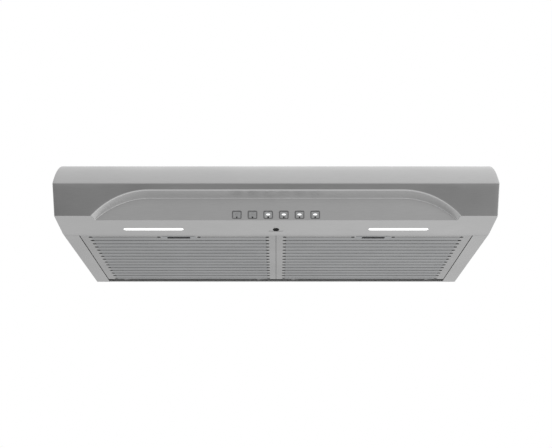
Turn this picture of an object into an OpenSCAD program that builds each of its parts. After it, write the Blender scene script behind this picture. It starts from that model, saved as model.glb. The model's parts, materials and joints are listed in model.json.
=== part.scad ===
// Under cabinet range hood: a folded steel canopy with a rounded front, a control recess,
// two lamps, two hinged grease filters and a flat centrifugal blower below a round duct collar.
// Origin: centre of the four cabinet screw holes, on the roof's top face.
// +X is to the right seen from the front, -Y is the front, +Z is up.

/* [Canopy] */
// Width of the canopy
body_w = 760; // [740:5:920]
// Height from the bottom plane to the roof's top face
body_h = 120; // [120:1:125]
// Thickness of the folded sheet
sheet = 1.2; // [1.0:0.1:1.4]
// Radius of the rounded top front edge
nose_r = 137; // [130:1:145]

/* [Cabinet screws] */
// Hole spacing across the width
screw_dx = 600; // [560:10:620]
// Hole spacing from front to back
screw_dy = 210; // [200:5:220]
// Radius of each hole
screw_hole_r = 3.5; // [2.5:0.5:4.5]

/* [Control recess] */
// Half length of the recess's straight top edge
arch_half = 216; // [200:1:225]
// Radius of the recess's curved ends
arch_r = 148; // [130:1:150]
// Distance between neighbouring buttons
button_pitch = 27.1; // [24:0.1:30]
// Width of a button cap
cap_w = 13.4; // [12:0.1:14]
// Height of a button cap
cap_h = 11; // [10:0.1:12]
// How far a button travels
button_travel = 2.5; // [1.5:0.1:3]

/* [Lamps] */
// Distance of each lamp from the middle
lamp_x = 216; // [200:1:230]
// Length of the visible lens
lens_len = 105; // [90:1:120]
// Width of the visible lens
lens_w = 9; // [8:0.1:14]

/* [Filters] */
// Height of a filter
filter_h = 10; // [9:0.5:11]
// Number of slot rows in a filter's face
slot_rows = 15; // [8:1:15]
// Distance between slot rows
slot_pitch = 23.64; // [20:0.01:23.7]
// Width of a slot
slot_w = 1.8; // [1.4:0.1:2.6]
// Distance of each latch from the middle
latch_x = 175.5; // [160:0.5:185]

/* [Blower] */
// Outer radius of the blower wheel
wheel_r = 85; // [75:1:88]
// Number of wheel blades
blade_count = 36; // [24:1:44]
// Outer radius of the duct collar
duct_r = 75; // [74:0.5:76]
// Height of the duct collar above the roof
duct_h = 45; // [40:1:60]

/* [Hidden] */
$fn = 64;

// Gap left between separate pieces, and between faces that only rest on each other
gap = 0.3;
seam = 0.02;
half_w = body_w / 2;
inner_half = half_w - sheet;

// Side outline, as [y, z]: the roof ends where the nose arc starts, the arc ends at a crease,
// the band leans back down to its foot, and the light panel slopes to the bottom plane.
front_y = -335;
rear_y = 165;
bottom_z = -body_h;
nose_y = front_y + 114;
crease_z = -nose_r + sqrt(pow(nose_r, 2) - pow(nose_y - front_y, 2));
foot = [front_y + 29.4, bottom_z + 9.2];
panel_end_y = front_y + 112;
band_angle = atan2(crease_z - foot[1], foot[0] - front_y);
light_angle = atan2(foot[1] - bottom_z, panel_end_y - foot[0]);

// The filters' bay in the bottom plane
bay_front_y = front_y + 124;
bay_rear_y = rear_y - 8;
bay_half = half_w - 26.7;
ledge_top_z = bottom_z + filter_h;

// Recess panel behind the band: its slope, and the point under the middle of the buttons
panel_slope = 19.1;
button_y = front_y + 45.6;
button_z = bottom_z + 16;
arch_top_z = bottom_z + 47.7;
bezel_w = cap_w + 3.4;
bezel_h = cap_h + 3.4;

function button_x(i) = (i - 2.5) * button_pitch;

lamp_y = front_y + 90.5;
boss_y = front_y + 91.8;
boss_hole_r = 4.5;
boss_head_r = 5.6;
boss_plate_r = 16;
boss_slot_r = 75;
boss_slot_w = 1.2;
boss_slot_back = 7.8;
boss_slot_len = 26;

// Filter outline, between the hinge line at the rear and the ledge at the front
filter_in = 0.3;
filter_out = bay_half - 1.5;
filter_front_y = bay_front_y + 0.45;
filter_rear_y = rear_y - 25.5;
filter_mid_x = (filter_in + filter_out) / 2;
face_t = 0.8;
hinge_y = rear_y - 22;
hinge_z = bottom_z + 2.8;
pin_r = 1.5;
ear_r = 2.6;
web_y = bay_rear_y + 2;
shelf_z = ledge_top_z + 1;
ear_x = 140;
ear_len = 7;
hinge_spots = [-filter_mid_x - ear_x, -filter_mid_x + ear_x, filter_mid_x - ear_x, filter_mid_x + ear_x];
slot_y = front_y + 135;
latch_y = front_y + 137.5;
latch_travel = 6;
spring_room = 11.8;

// Blower places, below the roof
plate_top_z = -3;
plate_z = plate_top_z - sheet;
scroll_z = -72;
wheel_x = -55;
wheel_y = -100;
duct_y = 80;
tongue_a = 50;
tongue_r = wheel_r + 8;
spiral_gain = 47;
motor_r = 38;
motor_bottom_z = -46;
shaft_r = 4;
stud_ring_r = 28;
flange_half = duct_r + 8;
duct_hole_half = duct_r - 1;
flap_z = 19;

// Wiring places: the junction box round the power entry, and the lamp driver
box_x = 220;
box_y = 108;
box_half_x = 40;
box_half_y = 38;
box_bottom_z = -44;
entry_hole_r = 11;
driver_x = -250;
driver_y = -40;

// ---------- outline helpers ----------

// The band, the band's foot, the light panel and its rear edge, each moved inwards by g
function band_y(z, g) = foot[0] - (z - foot[1]) / tan(band_angle) + g / sin(band_angle);
function foot_y(g) = foot[0] + g * (1 / sin(band_angle) - 1 / (cos(light_angle) * tan(band_angle)))
    / (1 - tan(light_angle) / tan(band_angle));
function light_z(y, g) = foot[1] - (y - foot[0]) * tan(light_angle) + g / cos(light_angle);
function bottom_y(g) = foot[0] + (foot[1] - bottom_z + g / cos(light_angle) - g) / tan(light_angle);

// The canopy's side outline, moved inwards by g
module outline(g) {
    intersection() {
        union() {
            translate([nose_y, -nose_r])
                circle(r = nose_r - g);
            translate([nose_y, bottom_z - 1])
                square([rear_y - g - nose_y, body_h + 1 - g]);
        }
        polygon([
            [band_y(10, g), 10],
            [foot_y(g), light_z(foot_y(g), g)],
            [bottom_y(g), bottom_z + g],
            [rear_y - g, bottom_z + g],
            [rear_y - g, 10]
        ]);
    }
}

// A layer of sheet that follows the outline, g inside it
module skin(g) {
    difference() {
        outline(g);
        outline(g + sheet);
    }
}

// Extrudes an outline drawn in Y and Z along X, centred, w wide
module across(w) {
    rotate([90, 0, 90])
        linear_extrude(w, center = true)
            children();
}

// The recess's front outline in X and Z, grown by g
module arch(g) {
    difference() {
        union() {
            translate([-arch_half, bottom_z - 5])
                square([2 * arch_half, arch_top_z + g - bottom_z + 5]);
            for (s = [-1, 1])
                translate([s * arch_half, arch_top_z - arch_r])
                    circle(r = arch_r + g);
        }
        translate([-half_w, bottom_z - 305])
            square([2 * half_w, 300]);
    }
}

// The space in front of the recess panel, moved back by b, inside the arch grown by g
module recess(g, b) {
    back = b / cos(panel_slope);
    near_y = front_y - 20;
    low_z = bottom_z - 4;
    top_z = arch_top_z + 5;
    intersection() {
        translate([0, front_y + 80, 0])
            rotate([90, 0, 0])
                linear_extrude(120)
                    arch(g);
        across(body_w)
            polygon([
                [near_y, top_z],
                [near_y, low_z],
                [button_y + (button_z - low_z) * tan(panel_slope) + back, low_z],
                [button_y + (button_z - top_z) * tan(panel_slope) + back, top_z]
            ]);
    }
}

// Puts children on the recess panel: Z points out of it, Y up along it
module on_recess(x) {
    translate([x, button_y, button_z])
        rotate([90 + panel_slope, 0, 0])
            children();
}

// Puts children on the light panel: Z points out of it, downwards, Y to the front
module on_light(x, y) {
    translate([x, y, light_z(y, 0)])
        rotate([180 - light_angle, 0, 0])
            children();
}

module rounded(w, h, r) {
    union() {
        square([w - 2 * r, h], center = true);
        square([w, h - 2 * r], center = true);
        for (sx = [-1, 1], sy = [-1, 1])
            translate([sx * (w / 2 - r), sy * (h / 2 - r)])
                circle(r = r);
    }
}

module stadium(len, w) {
    union() {
        square([len - w, w], center = true);
        for (s = [-1, 1])
            translate([s * (len - w) / 2, 0])
                circle(r = w / 2);
    }
}

// A narrow, slightly curved slot behind the boss plug, bulging to the rear
module boss_slot() {
    intersection() {
        translate([0, boss_slot_r - boss_slot_back])
            difference() {
                circle(r = boss_slot_r + boss_slot_w / 2, $fn = 180);
                circle(r = boss_slot_r - boss_slot_w / 2, $fn = 180);
            }
        translate([0, -boss_slot_back])
            square([boss_slot_len, 2 * boss_slot_back], center = true);
    }
}

module box(x0, x1, y0, y1, z0, z1) {
    translate([x0, y0, z0])
        cube([x1 - x0, y1 - y0, z1 - z0]);
}

module ring(r_out, r_in, h) {
    linear_extrude(h)
        difference() {
            circle(r = r_out);
            circle(r = r_in);
        }
}

// ---------- canopy ----------

roof_screw_x = [-330, -200, -70, 70, 200, 330];
roof_screw_y = nose_y + 11;
outlet_w = 254;
outlet_h = 83;
outlet_z = -61;
outlet_screw_dz = 30;
outlet_cover_w = outlet_w + 28;
outlet_cover_h = outlet_h + 7;

module roof_screw_holes(r) {
    for (x = roof_screw_x)
        translate([x, roof_screw_y, -10])
            cylinder(r = r, h = 20);
}

module roof_panel() {
    color("gainsboro")
        difference() {
            box(-half_w, half_w, nose_y, rear_y, -sheet, 0);
            for (sx = [-1, 1], sy = [-1, 1])
                translate([sx * screw_dx / 2, sy * screw_dy / 2, -5])
                    cylinder(r = screw_hole_r, h = 10);
            duct_hole();
            translate([box_x, box_y, -5])
                cylinder(r = entry_hole_r, h = 10);
            roof_screw_holes(2);
            blower_holes(2);
            collar_holes(1.6);
        }
}

module side_panel(s) {
    inner = s > 0 ? bay_half : -half_w;
    color("silver")
        union() {
            translate([s * (half_w - sheet / 2), 0, 0])
                across(sheet)
                    outline(sheet);
            box(inner, inner + half_w - bay_half, bay_front_y + gap, rear_y - sheet,
                bottom_z, bottom_z + sheet);
        }
}

module side_panel_left() {
    side_panel(-1);
}

module side_panel_right() {
    side_panel(1);
}

module rear_panel() {
    color("silver")
        difference() {
            union() {
                box(-half_w, half_w, rear_y - sheet, rear_y, bottom_z, -sheet);
                box(-bay_half + gap, bay_half - gap, bay_rear_y, rear_y, bottom_z, bottom_z + sheet);
            }
            translate([0, rear_y, outlet_z])
                cube([outlet_w, 10, outlet_h], center = true);
            outlet_screw_spots()
                translate([0, 0, -10])
                    cylinder(r = 2, h = 20);
        }
}

// The recess's back panel, its straight top wall and its two curved end walls, welded in behind the band
module recess_pan() {
    intersection() {
        union() {
            difference() {
                recess(sheet, sheet);
                recess(2 * sheet, seam);
            }
            difference() {
                recess(sheet, 0);
                recess(0, 2 * sheet);
                for (s = [-1, 1])
                    translate([s * arch_half, front_y + 50, arch_top_z])
                        cube([seam, 200, 20], center = true);
            }
        }
        across(body_w)
            outline(sheet + seam);
    }
}

// The folded skin from the roof's front edge to the band's foot, open where the recess pan sits behind it
module front_fascia() {
    color("darkgray")
        difference() {
            union() {
                difference() {
                    across(body_w)
                        intersection() {
                            skin(0);
                            polygon([
                                [front_y - 60, 10],
                                [nose_y, 10],
                                [nose_y, -40],
                                [foot_y(sheet), light_z(foot_y(sheet), sheet)],
                                [foot[0], foot[1]],
                                [front_y - 60, foot[1] - 30]
                            ]);
                        }
                    recess(0, 0);
                }
                across(2 * inner_half - 2 * gap)
                    intersection() {
                        skin(sheet);
                        translate([nose_y - 9, -5])
                            square([27, 10]);
                    }
                recess_pan();
            }
            roof_screw_holes(1.8);
            for (i = [0:5])
                on_recess(button_x(i))
                    linear_extrude(10, center = true)
                        rounded(bezel_w + 0.2, bezel_h + 0.2, 2.6);
        }
}

// The sloping panel that carries the lamps, with an upturned ledge for the filter latches
module light_panel() {
    color("lightgray")
        difference() {
            union() {
                across(body_w)
                    intersection() {
                        skin(0);
                        polygon([
                            [foot[0], foot[1]],
                            [foot_y(sheet), light_z(foot_y(sheet), sheet)],
                            [panel_end_y, bottom_z + 10],
                            [bay_front_y, bottom_z + 10],
                            [bay_front_y, bottom_z - 10],
                            [foot[0], bottom_z - 10]
                        ]);
                    }
                box(-bay_half, bay_half, bay_front_y - sheet, bay_front_y, bottom_z, ledge_top_z);
            }
            recess(sheet + 0.1, sheet + 0.1);
            for (s = [-1, 1])
                on_light(s * lamp_x, lamp_y)
                    linear_extrude(12, center = true)
                        stadium(lens_len + 0.6, lens_w + 0.6);
            on_light(0, boss_y) {
                cylinder(r = boss_hole_r, h = 12, center = true);
                linear_extrude(12, center = true)
                    boss_slot();
            }
        }
}

// Rear rail: a foot on the rear flange, a web, a shelf that closes the gap behind the filters,
// and the ears that carry the filter hinge pins
module filter_rear_rail() {
    color("darkgray")
        difference() {
            union() {
                box(-bay_half + 1, bay_half - 1, web_y, rear_y - 2, bottom_z + sheet, bottom_z + 2 * sheet);
                box(-bay_half + 1, bay_half - 1, web_y, web_y + sheet, bottom_z + sheet, shelf_z + sheet);
                box(-bay_half + 1, bay_half - 1, filter_rear_y + 1, web_y + sheet, shelf_z, shelf_z + sheet);
                for (x = hinge_spots)
                    rail_ear(x + ear_len / 2 + gap);
            }
            for (x = hinge_spots)
                translate([x, hinge_y, hinge_z])
                    rotate([0, 90, 0])
                        cylinder(r = pin_r + 0.02, h = 60, center = true);
        }
}

// A hinge ear on the rail, hanging from the shelf down to the pin line
module rail_ear(x) {
    union() {
        translate([x + ear_len / 2, hinge_y, hinge_z])
            rotate([0, 90, 0])
                cylinder(r = ear_r, h = ear_len, center = true);
        box(x, x + ear_len, hinge_y - pin_r, hinge_y + pin_r, hinge_z, shelf_z + sheet);
    }
}

// Plate over the unused rear air outlet, fixed from inside
module rear_outlet_cover() {
    color("gray")
        difference() {
            box(-outlet_cover_w / 2, outlet_cover_w / 2, rear_y - 2 * sheet, rear_y - sheet,
                outlet_z - outlet_cover_h / 2, outlet_z + outlet_cover_h / 2);
            outlet_screw_spots()
                translate([0, 0, -10])
                    cylinder(r = 2, h = 20);
        }
}

module outlet_screw_spots() {
    for (sx = [-1, 1], sz = [-1, 1])
        translate([sx * (outlet_w / 2 + 7), rear_y - 2 * sheet, outlet_z + sz * outlet_screw_dz])
            rotate([-90, 0, 0])
                children();
}

// Stiffening disc behind the middle of the light panel
module boss_plate() {
    color("silver")
        on_light(0, boss_y)
            translate([0, 0, -2 * sheet - seam])
                ring(boss_plate_r, boss_hole_r, sheet);
}

// Plug pushed through the light panel and the disc, with a rounded head outside
module boss_plug() {
    color("black")
        on_light(0, boss_y)
            rotate_extrude()
                polygon([
                    [0, -4], [boss_hole_r - 0.1, -4], [boss_hole_r - 0.1, seam], [boss_head_r, seam],
                    [boss_head_r, 0.6], [boss_head_r - 1, 1.2], [0, 1.4]
                ]);
}

// ---------- lamps ----------

module lamp_lens(s) {
    color("white")
        on_light(s * lamp_x, lamp_y)
            union() {
                translate([0, 0, -2.8])
                    linear_extrude(3.1)
                        stadium(lens_len, lens_w);
                translate([0, 0, -2.8])
                    linear_extrude(1.5)
                        stadium(lens_len + 8, lens_w + 6.6);
            }
}

module lamp_lens_left() {
    lamp_lens(-1);
}

module lamp_lens_right() {
    lamp_lens(1);
}

module lamp_tray(s) {
    color("whitesmoke")
        on_light(s * lamp_x, lamp_y)
            difference() {
                translate([0, 0, -13])
                    linear_extrude(11.7)
                        rounded(lens_len + 16, lens_w + 13.6, 3);
                translate([0, 0, -11.8])
                    linear_extrude(20)
                        rounded(lens_len + 13.6, lens_w + 11.2, 2);
            }
}

module lamp_tray_left() {
    lamp_tray(-1);
}

module lamp_tray_right() {
    lamp_tray(1);
}

led_pitch = 11.5;

module led_board(s) {
    color("khaki")
        on_light(s * lamp_x, lamp_y)
            union() {
                translate([0, 0, -11.8])
                    linear_extrude(1.2)
                        square([lens_len, 10], center = true);
                for (i = [-4:4])
                    translate([i * led_pitch, 0, -10.3])
                        cube([3.5, 3.5, 1], center = true);
            }
}

module led_board_left() {
    led_board(-1);
}

module led_board_right() {
    led_board(1);
}

module led_driver() {
    color("whitesmoke")
        union() {
            box(driver_x - 40, driver_x + 40, driver_y - 20, driver_y + 20, -26, -sheet);
            box(driver_x - 48, driver_x + 48, driver_y - 12, driver_y + 12, -2 * sheet, -sheet);
        }
}

// ---------- controls ----------

bezel_len = 5 * button_pitch + 34;
strip_h = 15.4;
stem_end = -13;

// Backing strip with a raised rim round each button
module button_bezel() {
    color("dimgray")
        difference() {
            union() {
                on_recess(0)
                    translate([0, 0, -3.4])
                        linear_extrude(2.1)
                            rounded(bezel_len, strip_h, 3);
                for (i = [0:5])
                    on_recess(button_x(i))
                        translate([0, 0, -2])
                            linear_extrude(2.4)
                                rounded(bezel_w, bezel_h, 2.5);
            }
            for (i = [0:5])
                on_recess(button_x(i))
                    linear_extrude(12, center = true)
                        rounded(cap_w + 0.6, cap_h + 0.6, 2.1);
        }
}

module button(i) {
    color(i < 2 ? "gray" : "lightgray")
        on_recess(button_x(i))
            union() {
                translate([0, 0, -4])
                    linear_extrude(5.2)
                        rounded(cap_w, cap_h, 1.8);
                translate([0, 0, -5.4])
                    linear_extrude(1.4)
                        rounded(cap_w + 2.4, cap_h + 2.4, 2);
                translate([0, 0, stem_end])
                    cylinder(r = 2, h = 8);
            }
}

module button_lamp() {
    button(0);
}

module button_stop() {
    button(1);
}

module button_low() {
    button(2);
}

module button_medium() {
    button(3);
}

module button_high() {
    button(4);
}

module button_boost() {
    button(5);
}

// Housing of the six switches, on two posts behind the bezel strip
module switch_block() {
    color("ivory")
        on_recess(0)
            difference() {
                union() {
                    translate([0, 0, -21])
                        linear_extrude(12)
                            rounded(bezel_len, 18, 2);
                    for (s = [-1, 1])
                        translate([s * (bezel_len / 2 - 4), 0, -9.5])
                            cylinder(r = 3, h = 6.1);
                }
                for (i = [0:5])
                    translate([button_x(i), 0, stem_end - button_travel - 3])
                        cylinder(r = 2.3, h = 12);
            }
}

module switch_board() {
    color("darkgreen")
        on_recess(0)
            translate([0, 0, -22.6])
                linear_extrude(1.6)
                    rounded(bezel_len + 8, 21, 1);
}

// ---------- filters ----------

// One row of a filter face: a narrow slot with a wider round hole at each end
module slot(x0, x1, y) {
    union() {
        translate([x0, y - slot_w / 2])
            square([x1 - x0, slot_w]);
        for (x = [x0, x1])
            translate([x, y])
                circle(r = slot_end_r);
    }
}

// Puts a right-hand filter piece on side s
module on_side(s) {
    if (s > 0)
        children();
    else
        mirror([1, 0, 0])
            children();
}

slot_end_r = 3.7;
slot_in = 15.8;
slot_out = filter_out - 17.3;
// Plain stretches of the first row on the inner and the outer side of the latch
latch_gap_in = 36.8;
latch_gap_out = 36;
rim_t = 0.4;
window_w = 41;
window_h = 10.4;
tongue_z = filter_h + gap;
tongue_t = 1.4;
latch_rear_y = 6;
guide_rear_y = latch_rear_y + latch_travel + spring_room;

module filter_face(s) {
    color("lightgray")
        on_side(s)
            translate([0, 0, bottom_z])
                linear_extrude(face_t)
                    difference() {
                        translate([filter_in, filter_front_y])
                            square([filter_out - filter_in, filter_rear_y - filter_front_y]);
                        slot(slot_in, latch_x - latch_gap_in, slot_y);
                        slot(latch_x + latch_gap_out, slot_out, slot_y);
                        for (i = [1:slot_rows - 1])
                            slot(slot_in, slot_out, slot_y + i * slot_pitch);
                        translate([latch_x, latch_y])
                            square([window_w + 5, window_h + 3], center = true);
                    }
}

module filter_face_left() {
    filter_face(-1);
}

module filter_face_right() {
    filter_face(1);
}

module filter_frame(s) {
    z0 = bottom_z + face_t;
    color("silver")
        on_side(s)
            difference() {
                union() {
                    difference() {
                        box(filter_in, filter_out, filter_front_y, filter_rear_y, z0, ledge_top_z);
                        box(filter_in + 1, filter_out - 1, filter_front_y + 1, filter_rear_y - 1,
                            z0 - 1, ledge_top_z - 1);
                        box(filter_in + 9, filter_out - 9, filter_front_y + 9, filter_rear_y - 9,
                            z0 - 1, ledge_top_z + 1);
                        box(latch_x - 30, latch_x + 30, filter_front_y + 1, filter_front_y + 20,
                            z0 - 1, ledge_top_z + 1);
                    }
                    for (x = [filter_mid_x - ear_x, filter_mid_x + ear_x]) {
                        translate([x, hinge_y, hinge_z])
                            rotate([0, 90, 0])
                                cylinder(r = ear_r, h = ear_len, center = true);
                        box(x - ear_len / 2, x + ear_len / 2, filter_rear_y - 1, hinge_y,
                            hinge_z - 1.4, hinge_z + ear_r);
                    }
                }
                translate([filter_mid_x, hinge_y, hinge_z])
                    rotate([0, 90, 0])
                        cylinder(r = pin_r + 0.06, h = 400, center = true);
            }
}

module filter_frame_left() {
    filter_frame(-1);
}

module filter_frame_right() {
    filter_frame(1);
}

// Pleated filter mesh, with its pleats along X and a cut-out for the latch
module filter_mesh(s) {
    y0 = filter_front_y + 11;
    y1 = filter_rear_y - 2;
    pleats = 29;
    step = (y1 - y0) / (2 * pleats);
    low = bottom_z + 1.5;
    high = ledge_top_z - 2.2;
    color("gray")
        on_side(s)
            difference() {
                translate([filter_mid_x, 0, 0])
                    across(filter_out - filter_in - 3)
                        polygon(concat(
                            [for (i = [0:2 * pleats]) [y0 + i * step, i % 2 == 0 ? low : high]],
                            [for (i = [2 * pleats:-1:0]) [y0 + i * step, (i % 2 == 0 ? low : high) + 0.9]]
                        ));
                box(latch_x - 31, latch_x + 31, y0 - 5, latch_y + 28, low - 1, high + 3);
            }
}

module filter_mesh_left() {
    filter_mesh(-1);
}

module filter_mesh_right() {
    filter_mesh(1);
}

// Sliding latch: a finger cup below, and a tongue that rests on the light panel's ledge
module latch(s) {
    color("#222222")
        on_side(s)
            translate([latch_x, latch_y, bottom_z])
                difference() {
                    union() {
                        box(-25, 25, -9, latch_rear_y, 1.8, 8.8);
                        box(-12, 12, -9, -6, 8.8, tongue_z + tongue_t);
                        box(-12, 12, -17, -6, tongue_z, tongue_z + tongue_t);
                    }
                    box(-19, 19, -4.5, 4.5, 0, 7.6);
                }
}

module latch_left() {
    latch(-1);
}

module latch_right() {
    latch(1);
}

// Latch surround: a thin rim outside the face and an open guide box inside it
module latch_bezel(s) {
    color("lightsteelblue")
        on_side(s)
            translate([latch_x, latch_y, bottom_z])
                difference() {
                    union() {
                        translate([0, 0, -rim_t])
                            linear_extrude(rim_t)
                                rounded(62, 16.6, 2.5);
                        box(-window_w / 2 - 2.4, window_w / 2 + 2.4, -window_h / 2 - 1.4, window_h / 2 + 1.4,
                            -0.3, 1);
                        box(-28, 28, -10.8, guide_rear_y + sheet, face_t, 8);
                    }
                    box(-26.4, 26.4, -9.6, guide_rear_y, 1.6, 9);
                    box(-window_w / 2, window_w / 2, -window_h / 2, window_h / 2, -2, 5);
                }
}

module latch_bezel_left() {
    latch_bezel(-1);
}

module latch_bezel_right() {
    latch_bezel(1);
}

// Coil spring behind the latch, wound round an axis along Y
coil_turns = 6;
coil_steps = 14;
coil_wire = 0.45;
coil_r = 2.4;
coil_len = 17;

function coil_point(a, b) = [
    (coil_r + coil_wire * cos(b)) * cos(a),
    coil_len * a / (360 * coil_turns) + coil_wire * sin(b),
    (coil_r + coil_wire * cos(b)) * sin(a)
];

module latch_spring(s) {
    n = coil_turns * coil_steps;
    points = [for (i = [0:n], k = [0:5]) coil_point(i * 360 / coil_steps, k * 60)];
    sides = [for (i = [0:n - 1], k = [0:5])
        [i * 6 + k, i * 6 + (k + 1) % 6, (i + 1) * 6 + (k + 1) % 6, (i + 1) * 6 + k]];
    color("dimgray")
        on_side(s)
            translate([latch_x, latch_y + latch_rear_y + coil_wire, bottom_z + 5])
                polyhedron(points, concat([[5, 4, 3, 2, 1, 0]], sides, [[for (k = [0:5]) n * 6 + k]]));
}

module latch_spring_left() {
    latch_spring(-1);
}

module latch_spring_right() {
    latch_spring(1);
}

module hinge_pins() {
    color("dimgray")
        for (x = hinge_spots)
            translate([x - ear_len / 2 - 0.5, hinge_y, hinge_z])
                rotate([0, 90, 0])
                    cylinder(r = pin_r, h = 2 * ear_len + 1 + gap);
}

// ---------- blower ----------

function spiral_r(a) = tongue_r + spiral_gain * (a - tongue_a) / (360 - tongue_a);
function spiral(g) = [for (a = [tongue_a:10:360]) (spiral_r(a) + g) * [cos(a), sin(a)] + [wheel_x, wheel_y]];

scroll_x1 = wheel_x + spiral_r(360);
plenum_x0 = -80;
plenum_y0 = 5;
plenum_y1 = 155;
tongue_x = -17;

// The top plate's edges, and its screws at a distance from them
plate_x0 = -186;
plate_x1 = 106;
plate_y0 = -236;
plate_y1 = 160;
plate_edge_side = 11;
plate_edge_front = 41;
plate_edge_rear = 15;
blower_spots = [
    for (y = [plate_y0 + plate_edge_front, plate_y1 - plate_edge_rear],
         x = [plate_x0 + plate_edge_side, plate_x1 - plate_edge_side]) [x, y]
];

module blower_holes(r) {
    for (p = blower_spots)
        translate([p[0], p[1], -10])
            cylinder(r = r, h = 20);
}

module collar_spots() {
    for (sx = [-1, 1], sy = [-1, 1])
        translate([sx * (duct_r + 4), duct_y + sy * (duct_r + 4), 0])
            children();
}

// The square opening that the collar's base covers
module duct_hole() {
    translate([0, duct_y, 0])
        cube([2 * duct_hole_half, 2 * duct_hole_half, 20], center = true);
}

module collar_holes(r) {
    collar_spots()
        translate([0, 0, -2.7])
            cylinder(r = r, h = 10);
}

module blower_top_plate() {
    color("silver")
        difference() {
            box(plate_x0, plate_x1, plate_y0, plate_y1, plate_z, plate_top_z);
            duct_hole();
            blower_holes(2);
            roof_screw_holes(4.4);
            motor_studs(2.1);
        }
}

// The scroll and the outlet chamber below the duct, moved outwards by g, as a loop that ends at the tongue
function scroll_loop(g) = concat(spiral(g), [
    [scroll_x1 + g, plenum_y1 + g],
    [plenum_x0 - g, plenum_y1 + g],
    [plenum_x0 - g, plenum_y0 - g],
    [tongue_x - 1.5 * g, plenum_y0 - g]
]);

module scroll_wall() {
    tongue_tip = spiral(0)[0] + [2.4, 1.2];
    color("silver")
        translate([0, 0, scroll_z])
            linear_extrude(plate_z - scroll_z)
                difference() {
                    polygon(scroll_loop(sheet));
                    polygon(concat(scroll_loop(0), [tongue_tip]));
                }
}

// Floor of the scroll, with a rim outside its wall
module inlet_plate() {
    color("silver")
        translate([0, 0, scroll_z - sheet])
            linear_extrude(sheet)
                difference() {
                    union() {
                        polygon(concat(spiral(8), [[scroll_x1 + 8, 0], [0, 0]]));
                        translate([plenum_x0 - 8, plenum_y0 - 8])
                            square([scroll_x1 + 16 - plenum_x0, plenum_y1 + 14 - plenum_y0]);
                    }
                    translate([wheel_x, wheel_y])
                        circle(r = wheel_r - 10);
                }
}

module inlet_ring() {
    z = scroll_z - sheet;
    color("gray")
        translate([wheel_x, wheel_y, z])
            rotate_extrude()
                polygon([
                    [wheel_r - 19, 7.4], [wheel_r - 18, 7.4], [wheel_r - 18, 2.4], [wheel_r - 16, 0],
                    [wheel_r - 3, 0], [wheel_r - 3, -1.2], [wheel_r - 16.5, -1.2], [wheel_r - 19, 1.8]
                ]);
}

wheel_top_z = -13;
wheel_low_z = -69;
wheel_t = 1.5;
cup_r = 46;
cup_z = -52;
hub_r = 12;

// Wheel: a cup round the motor, a back plate, forward-curved blades and a bottom ring
module blower_wheel() {
    color("dimgray")
        translate([wheel_x, wheel_y, 0])
            union() {
                rotate_extrude()
                    polygon([
                        [shaft_r + 0.02, cup_z - 10], [hub_r, cup_z - 10], [hub_r, cup_z], [cup_r, cup_z],
                        [cup_r, wheel_top_z - wheel_t], [wheel_r, wheel_top_z - wheel_t],
                        [wheel_r, wheel_top_z], [cup_r - wheel_t, wheel_top_z],
                        [cup_r - wheel_t, cup_z + wheel_t], [shaft_r + 0.02, cup_z + wheel_t]
                    ]);
                translate([0, 0, wheel_low_z])
                    ring(wheel_r, wheel_r - 16.5, wheel_t);
                for (i = [0:blade_count - 1])
                    rotate(i * 360 / blade_count)
                        translate([wheel_r - 8.6, 0, wheel_low_z + 1])
                            rotate(35)
                                linear_extrude(wheel_top_z - wheel_low_z - 2)
                                    square([18, 1.2], center = true);
            }
}

module wheel_nut() {
    color("silver")
        translate([wheel_x, wheel_y, -66.8])
            difference() {
                cylinder(r = 7.5, h = 4.6, $fn = 6);
                translate([0, 0, -1])
                    cylinder(r = shaft_r + 0.02, h = 8);
            }
}

module motor_shaft() {
    color("silver")
        translate([wheel_x, wheel_y, -68.5])
            cylinder(r = shaft_r, h = 48);
}

module motor_studs(r) {
    for (a = [30, 150, 270])
        translate([wheel_x + stud_ring_r * cos(a), wheel_y + stud_ring_r * sin(a), plate_z - 2])
            cylinder(r = r, h = 4);
}

// Motor, hung from the top plate on three studs, with the shaft's bearing bore below
module motor() {
    color("slategray")
        union() {
            translate([wheel_x, wheel_y, 0])
                rotate_extrude()
                    polygon([
                        [shaft_r + 0.06, motor_bottom_z], [14, motor_bottom_z], [14, motor_bottom_z + 3],
                        [motor_r - 4, motor_bottom_z + 3], [motor_r, motor_bottom_z + 7],
                        [motor_r, plate_z], [0, plate_z],
                        [0, -20], [shaft_r + 0.06, -20]
                    ]);
            motor_studs(2);
        }
}

capacitor_x = -125;
capacitor_y = 45;
capacitor_r = 16;
capacitor_len = 50;
bracket_half = 8;

// Motor capacitor, lying along Y on a bracket block
module capacitor() {
    color("whitesmoke")
        union() {
            translate([capacitor_x, capacitor_y, -22])
                rotate([-90, 0, 0])
                    cylinder(r = capacitor_r, h = capacitor_len);
            translate([0, capacitor_y + capacitor_len / 2, 0])
                box(capacitor_x - bracket_half, capacitor_x + bracket_half,
                    -bracket_half, bracket_half, -10, plate_z);
        }
}

// ---------- duct ----------

// The tube stands on its own square base
module duct_collar() {
    color("silver")
        translate([0, duct_y, 0])
            difference() {
                union() {
                    linear_extrude(sheet)
                        difference() {
                            square(2 * flange_half, center = true);
                            circle(r = duct_r - sheet);
                        }
                    translate([0, 0, sheet + seam])
                        ring(duct_r, duct_r - sheet, duct_h - sheet - seam);
                }
                translate([0, 0, flap_z])
                    rotate([0, 90, 0])
                        cylinder(r = pin_r + 0.04, h = 200, center = true);
                translate([0, -duct_y, 0])
                    collar_holes(1.6);
            }
}

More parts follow.
